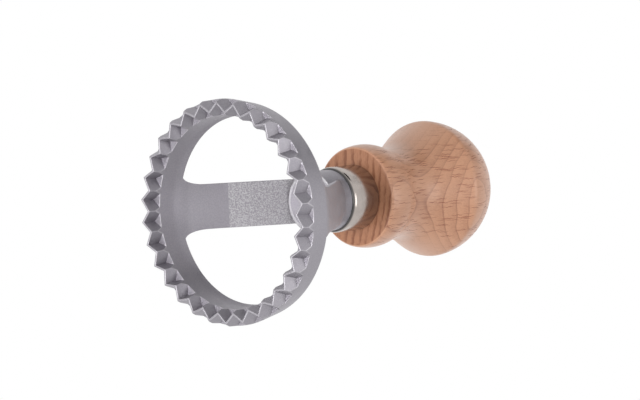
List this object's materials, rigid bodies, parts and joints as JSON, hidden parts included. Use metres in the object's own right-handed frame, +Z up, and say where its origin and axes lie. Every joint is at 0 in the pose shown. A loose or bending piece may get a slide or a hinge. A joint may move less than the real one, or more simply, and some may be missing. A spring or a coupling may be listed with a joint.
{
  "type": "ravioli stamp",
  "caption": "Round ravioli stamp: a cast ring with a zigzag cutting edge on an arched bridge, a plated ferrule and a turned wooden ball knob to press it through dough.",
  "frame": {"origin": "centre of the cutting ring on the cutting plane, where the stamp stands on its edge", "axes": "+Z up the axis of the stamp, from the cutting edge through boss, ferrule and knob; the two arms of the bridge lie along X"},
  "size_m": [0.064, 0.064, 0.1066],
  "materials": {
    "cast_aluminium": "satin casting, machined inside the ring, fine grain on the arms",
    "chrome_plate": "polished",
    "beech": "satin lacquer over fine straight grain with short dark flecks",
    "zinc_steel": "zinc plated"
  },
  "bodies": {
    "root": {"cutter_head": "cast_aluminium", "ferrule": "chrome_plate", "handle": "beech", "handle_stud": "zinc_steel"}
  },
  "joints": []
}
